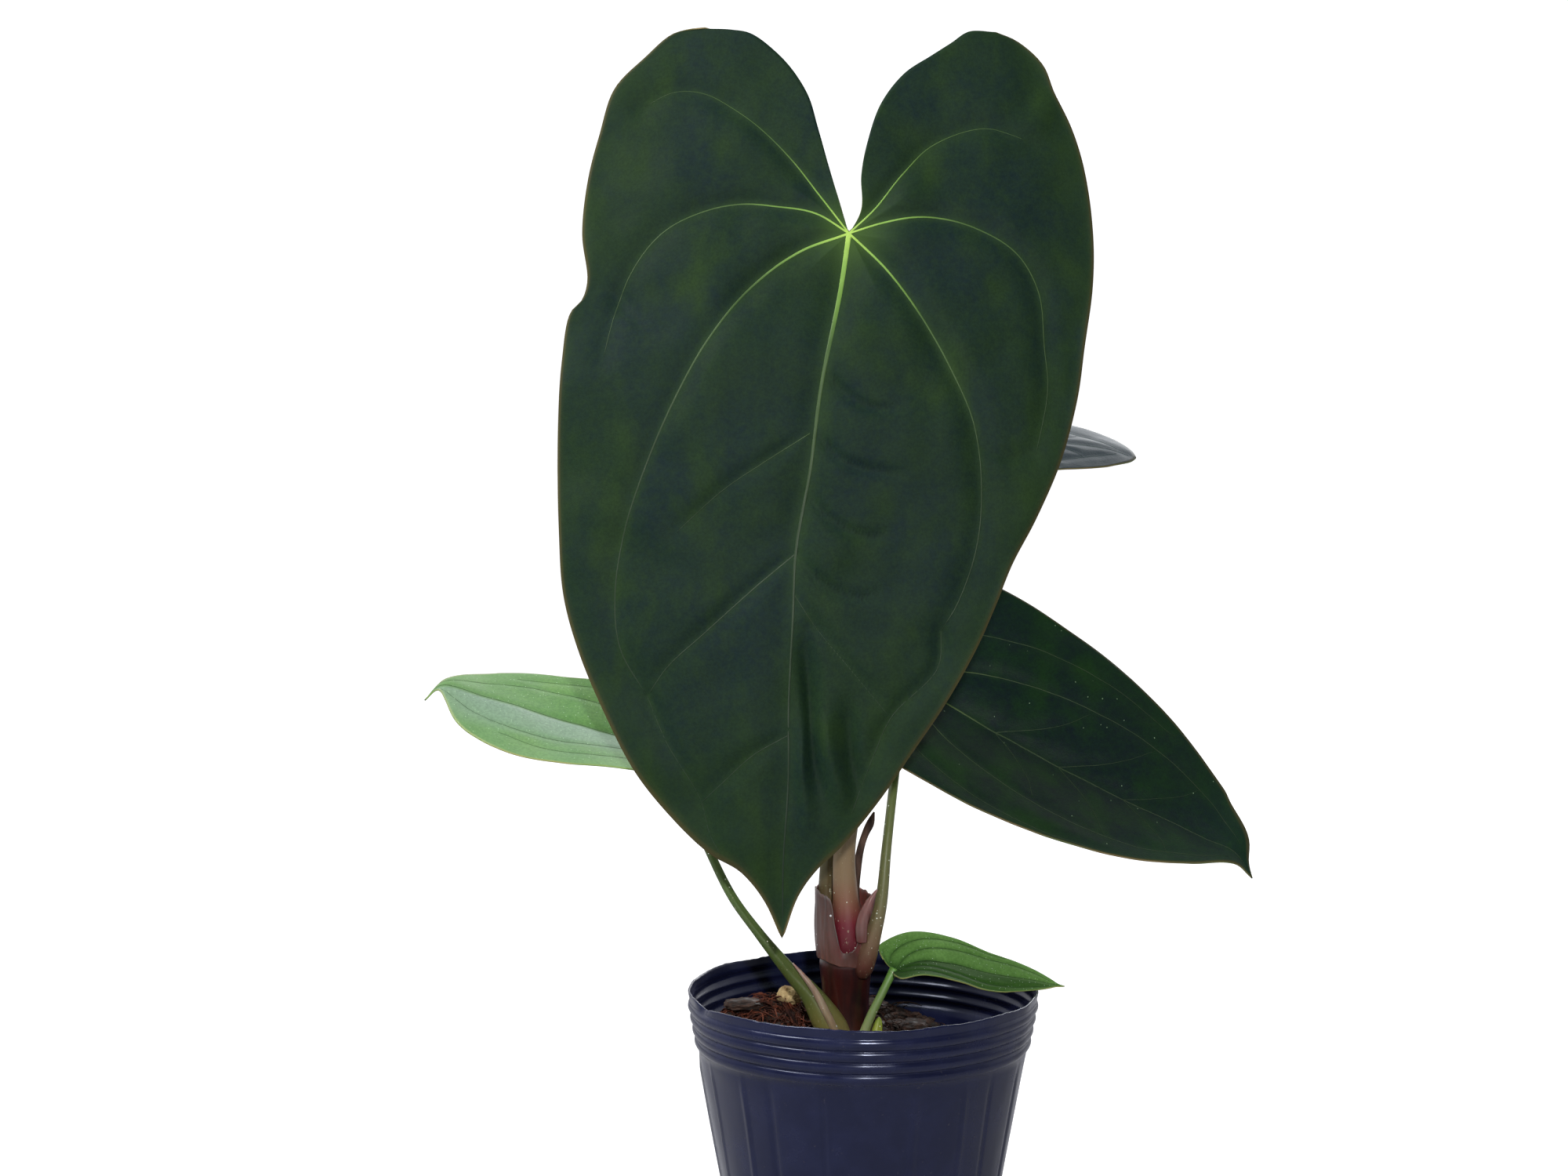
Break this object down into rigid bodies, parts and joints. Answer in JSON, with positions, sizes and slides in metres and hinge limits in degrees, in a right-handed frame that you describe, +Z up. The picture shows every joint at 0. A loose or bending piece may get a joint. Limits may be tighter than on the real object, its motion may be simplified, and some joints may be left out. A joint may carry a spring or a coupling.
{
  "type": "potted anthurium",
  "caption": "Velvet-leaved anthurium with heart-shaped blades on slender stalks, rooted in a thin ribbed nursery pot with a bark and coir mix.",
  "frame": {"origin": "centre of the pot's flat underside", "axes": "+Z up along the pot's axis, +Y away from the viewer who sees the largest blade face on, +X to that viewer's right"},
  "size_m": [0.2486, 0.1138, 0.3771],
  "materials": {
    "pot_film": "semi-gloss thin blue-black polyethylene film",
    "coir_mix": "loose damp reddish-brown coir and fine bark",
    "stem_skin": "smooth glossy dark red-brown stem skin",
    "root_skin": "matte pale corky root",
    "sheath_film": "papery translucent grey-pink membrane",
    "main_stalk_skin": "satin olive-tan stalk, crimson at its foot",
    "green_stalk_skin": "satin olive-green stalk",
    "velvet_blade": "very dark green velvet with thin pale veins",
    "right_blade": "dark blue-green satin velvet with thin olive veins",
    "back_blade": "blue-grey satin leaf with pale veins",
    "pale_blade": "pale fresh green satin leaf with dark veins",
    "fresh_blade": "bright green satin leaf with sunken veins",
    "dried_sheath": "dry papery brown",
    "young_shoot": "yellow-green waxy shoot",
    "bark": "rough damp bark",
    "pumice": "porous cream-yellow mineral",
    "perlite": "porous off-white mineral"
  },
  "bodies": {
    "root": {"back_leaf_blade": "back_blade", "back_leaf_stalk": "main_stalk_skin", "bark_chip_1": "bark", "bark_chip_2": "bark", "bark_chip_3": "bark", "bark_chip_4": "bark", "bark_chip_5": "bark", "bark_chip_6": "bark", "bark_chip_7": "bark", "basal_shoot": "young_shoot", "dried_sheath_strand": "dried_sheath", "growing_mix": "coir_mix", "left_leaf_blade": "pale_blade", "left_leaf_stalk": "green_stalk_skin", "left_stalk_flap": "sheath_film", "main_leaf_blade": "velvet_blade", "main_leaf_stalk": "main_stalk_skin", "nursery_pot": "pot_film", "perlite_grain_1": "perlite", "perlite_grain_2": "perlite", "perlite_grain_3": "perlite", "pumice_stone": "pumice", "right_leaf_blade": "right_blade", "right_leaf_stalk": "green_stalk_skin", "right_stalk_flap": "sheath_film", "root_1": "root_skin", "root_2": "root_skin", "root_3": "root_skin", "root_4": "root_skin", "root_5": "root_skin", "root_6": "root_skin", "small_leaf_blade": "fresh_blade", "small_leaf_stalk": "green_stalk_skin", "stem": "stem_skin", "stem_sheath": "sheath_film"}
  },
  "joints": []
}
